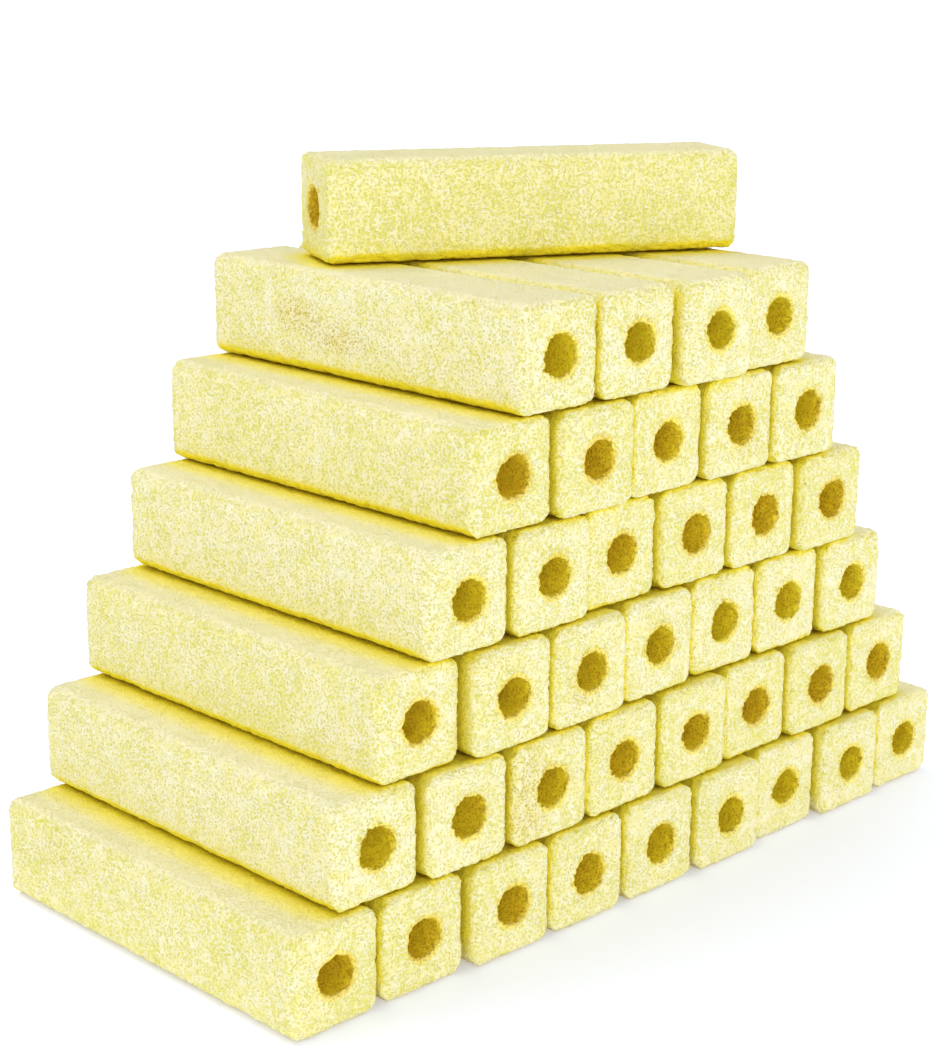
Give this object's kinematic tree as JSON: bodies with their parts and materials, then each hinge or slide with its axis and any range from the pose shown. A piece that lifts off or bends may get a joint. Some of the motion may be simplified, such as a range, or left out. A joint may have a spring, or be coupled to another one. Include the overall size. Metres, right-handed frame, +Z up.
{
  "type": "porous brick stack",
  "caption": "Stepped pile of long square porous bricks, each with a round bore from end to end, and one brick laid crosswise on top.",
  "frame": {"origin": "on the floor under the middle of the pile", "axes": "+X runs along the rows to the right as seen from the front, +Y runs along the rows' bricks from their bored front ends to the back, +Z is up"},
  "size_m": [0.436, 0.211, 0.329],
  "materials": {
    "porous_body": "matt, open-pored granular body, pale cream yellow"
  },
  "bodies": {
    "row_1_brick_1": {"row_1_brick_1": "porous_body"},
    "row_1_brick_2": {"row_1_brick_2": "porous_body"},
    "row_1_brick_3": {"row_1_brick_3": "porous_body"},
    "row_1_brick_4": {"row_1_brick_4": "porous_body"},
    "row_1_brick_5": {"row_1_brick_5": "porous_body"},
    "row_1_brick_6": {"row_1_brick_6": "porous_body"},
    "row_1_brick_7": {"row_1_brick_7": "porous_body"},
    "row_1_brick_8": {"row_1_brick_8": "porous_body"},
    "row_1_brick_9": {"row_1_brick_9": "porous_body"},
    "row_2_brick_1": {"row_2_brick_1": "porous_body"},
    "row_2_brick_2": {"row_2_brick_2": "porous_body"},
    "row_2_brick_3": {"row_2_brick_3": "porous_body"},
    "row_2_brick_4": {"row_2_brick_4": "porous_body"},
    "row_2_brick_5": {"row_2_brick_5": "porous_body"},
    "row_2_brick_6": {"row_2_brick_6": "porous_body"},
    "row_2_brick_7": {"row_2_brick_7": "porous_body"},
    "row_2_brick_8": {"row_2_brick_8": "porous_body"},
    "row_3_brick_1": {"row_3_brick_1": "porous_body"},
    "row_3_brick_2": {"row_3_brick_2": "porous_body"},
    "row_3_brick_3": {"row_3_brick_3": "porous_body"},
    "row_3_brick_4": {"row_3_brick_4": "porous_body"},
    "row_3_brick_5": {"row_3_brick_5": "porous_body"},
    "row_3_brick_6": {"row_3_brick_6": "porous_body"},
    "row_3_brick_7": {"row_3_brick_7": "porous_body"},
    "row_4_brick_1": {"row_4_brick_1": "porous_body"},
    "row_4_brick_2": {"row_4_brick_2": "porous_body"},
    "row_4_brick_3": {"row_4_brick_3": "porous_body"},
    "row_4_brick_4": {"row_4_brick_4": "porous_body"},
    "row_4_brick_5": {"row_4_brick_5": "porous_body"},
    "row_4_brick_6": {"row_4_brick_6": "porous_body"},
    "row_5_brick_1": {"row_5_brick_1": "porous_body"},
    "row_5_brick_2": {"row_5_brick_2": "porous_body"},
    "row_5_brick_3": {"row_5_brick_3": "porous_body"},
    "row_5_brick_4": {"row_5_brick_4": "porous_body"},
    "row_5_brick_5": {"row_5_brick_5": "porous_body"},
    "row_6_brick_1": {"row_6_brick_1": "porous_body"},
    "row_6_brick_2": {"row_6_brick_2": "porous_body"},
    "row_6_brick_3": {"row_6_brick_3": "porous_body"},
    "row_6_brick_4": {"row_6_brick_4": "porous_body"},
    "crosswise_brick": {"crosswise_brick": "porous_body"}
  },
  "joints": [
    {"name": "draw_row_1_brick_1", "type": "slide", "parent": "row_1_brick_5", "child": "row_1_brick_1", "axis": [0, -1, 0], "range_m": [0, 0.22]},
    {"name": "draw_row_1_brick_2", "type": "slide", "parent": "row_1_brick_5", "child": "row_1_brick_2", "axis": [0, -1, 0], "range_m": [0, 0.22]},
    {"name": "draw_row_1_brick_3", "type": "slide", "parent": "row_1_brick_5", "child": "row_1_brick_3", "axis": [0, -1, 0], "range_m": [0, 0.22]},
    {"name": "draw_row_1_brick_4", "type": "slide", "parent": "row_1_brick_5", "child": "row_1_brick_4", "axis": [0, -1, 0], "range_m": [0, 0.22]},
    {"name": "draw_row_1_brick_6", "type": "slide", "parent": "row_1_brick_5", "child": "row_1_brick_6", "axis": [0, -1, 0], "range_m": [0, 0.22]},
    {"name": "draw_row_1_brick_7", "type": "slide", "parent": "row_1_brick_5", "child": "row_1_brick_7", "axis": [0, -1, 0], "range_m": [0, 0.22]},
    {"name": "draw_row_1_brick_8", "type": "slide", "parent": "row_1_brick_5", "child": "row_1_brick_8", "axis": [0, -1, 0], "range_m": [0, 0.22]},
    {"name": "draw_row_1_brick_9", "type": "slide", "parent": "row_1_brick_5", "child": "row_1_brick_9", "axis": [0, -1, 0], "range_m": [0, 0.22]},
    {"name": "draw_row_2_brick_1", "type": "slide", "parent": "row_1_brick_5", "child": "row_2_brick_1", "axis": [0, -1, 0], "range_m": [0, 0.22]},
    {"name": "draw_row_2_brick_2", "type": "slide", "parent": "row_1_brick_5", "child": "row_2_brick_2", "axis": [0, -1, 0], "range_m": [0, 0.22]},
    {"name": "draw_row_2_brick_3", "type": "slide", "parent": "row_1_brick_5", "child": "row_2_brick_3", "axis": [0, -1, 0], "range_m": [0, 0.22]},
    {"name": "draw_row_2_brick_4", "type": "slide", "parent": "row_1_brick_5", "child": "row_2_brick_4", "axis": [0, -1, 0], "range_m": [0, 0.22]},
    {"name": "draw_row_2_brick_5", "type": "slide", "parent": "row_1_brick_5", "child": "row_2_brick_5", "axis": [0, -1, 0], "range_m": [0, 0.22]},
    {"name": "draw_row_2_brick_6", "type": "slide", "parent": "row_1_brick_5", "child": "row_2_brick_6", "axis": [0, -1, 0], "range_m": [0, 0.22]},
    {"name": "draw_row_2_brick_7", "type": "slide", "parent": "row_1_brick_5", "child": "row_2_brick_7", "axis": [0, -1, 0], "range_m": [0, 0.22]},
    {"name": "draw_row_2_brick_8", "type": "slide", "parent": "row_1_brick_5", "child": "row_2_brick_8", "axis": [0, -1, 0], "range_m": [0, 0.22]},
    {"name": "draw_row_3_brick_1", "type": "slide", "parent": "row_1_brick_5", "child": "row_3_brick_1", "axis": [0, -1, 0], "range_m": [0, 0.22]},
    {"name": "draw_row_3_brick_2", "type": "slide", "parent": "row_1_brick_5", "child": "row_3_brick_2", "axis": [0, -1, 0], "range_m": [0, 0.22]},
    {"name": "draw_row_3_brick_3", "type": "slide", "parent": "row_1_brick_5", "child": "row_3_brick_3", "axis": [0, -1, 0], "range_m": [0, 0.22]},
    {"name": "draw_row_3_brick_4", "type": "slide", "parent": "row_1_brick_5", "child": "row_3_brick_4", "axis": [0, -1, 0], "range_m": [0, 0.22]},
    {"name": "draw_row_3_brick_5", "type": "slide", "parent": "row_1_brick_5", "child": "row_3_brick_5", "axis": [0, -1, 0], "range_m": [0, 0.22]},
    {"name": "draw_row_3_brick_6", "type": "slide", "parent": "row_1_brick_5", "child": "row_3_brick_6", "axis": [0, -1, 0], "range_m": [0, 0.22]},
    {"name": "draw_row_3_brick_7", "type": "slide", "parent": "row_1_brick_5", "child": "row_3_brick_7", "axis": [0, -1, 0], "range_m": [0, 0.22]},
    {"name": "draw_row_4_brick_1", "type": "slide", "parent": "row_1_brick_5", "child": "row_4_brick_1", "axis": [0, -1, 0], "range_m": [0, 0.22]},
    {"name": "draw_row_4_brick_2", "type": "slide", "parent": "row_1_brick_5", "child": "row_4_brick_2", "axis": [0, -1, 0], "range_m": [0, 0.22]},
    {"name": "draw_row_4_brick_3", "type": "slide", "parent": "row_1_brick_5", "child": "row_4_brick_3", "axis": [0, -1, 0], "range_m": [0, 0.22]},
    {"name": "draw_row_4_brick_4", "type": "slide", "parent": "row_1_brick_5", "child": "row_4_brick_4", "axis": [0, -1, 0], "range_m": [0, 0.22]},
    {"name": "draw_row_4_brick_5", "type": "slide", "parent": "row_1_brick_5", "child": "row_4_brick_5", "axis": [0, -1, 0], "range_m": [0, 0.22]},
    {"name": "draw_row_4_brick_6", "type": "slide", "parent": "row_1_brick_5", "child": "row_4_brick_6", "axis": [0, -1, 0], "range_m": [0, 0.22]},
    {"name": "draw_row_5_brick_1", "type": "slide", "parent": "row_1_brick_5", "child": "row_5_brick_1", "axis": [0, -1, 0], "range_m": [0, 0.22]},
    {"name": "draw_row_5_brick_2", "type": "slide", "parent": "row_1_brick_5", "child": "row_5_brick_2", "axis": [0, -1, 0], "range_m": [0, 0.22]},
    {"name": "draw_row_5_brick_3", "type": "slide", "parent": "row_1_brick_5", "child": "row_5_brick_3", "axis": [0, -1, 0], "range_m": [0, 0.22]},
    {"name": "draw_row_5_brick_4", "type": "slide", "parent": "row_1_brick_5", "child": "row_5_brick_4", "axis": [0, -1, 0], "range_m": [0, 0.22]},
    {"name": "draw_row_5_brick_5", "type": "slide", "parent": "row_1_brick_5", "child": "row_5_brick_5", "axis": [0, -1, 0], "range_m": [0, 0.22]},
    {"name": "draw_row_6_brick_1", "type": "slide", "parent": "row_1_brick_5", "child": "row_6_brick_1", "axis": [0, -1, 0], "range_m": [0, 0.22]},
    {"name": "draw_row_6_brick_2", "type": "slide", "parent": "row_1_brick_5", "child": "row_6_brick_2", "axis": [0, -1, 0], "range_m": [0, 0.22]},
    {"name": "draw_row_6_brick_3", "type": "slide", "parent": "row_1_brick_5", "child": "row_6_brick_3", "axis": [0, -1, 0], "range_m": [0, 0.22]},
    {"name": "draw_row_6_brick_4", "type": "slide", "parent": "row_1_brick_5", "child": "row_6_brick_4", "axis": [0, -1, 0], "range_m": [0, 0.22]},
    {"name": "lift_crosswise_brick", "type": "slide", "parent": "row_1_brick_5", "child": "crosswise_brick", "axis": [0, 0, 1], "range_m": [0, 0.12]}
  ]
}
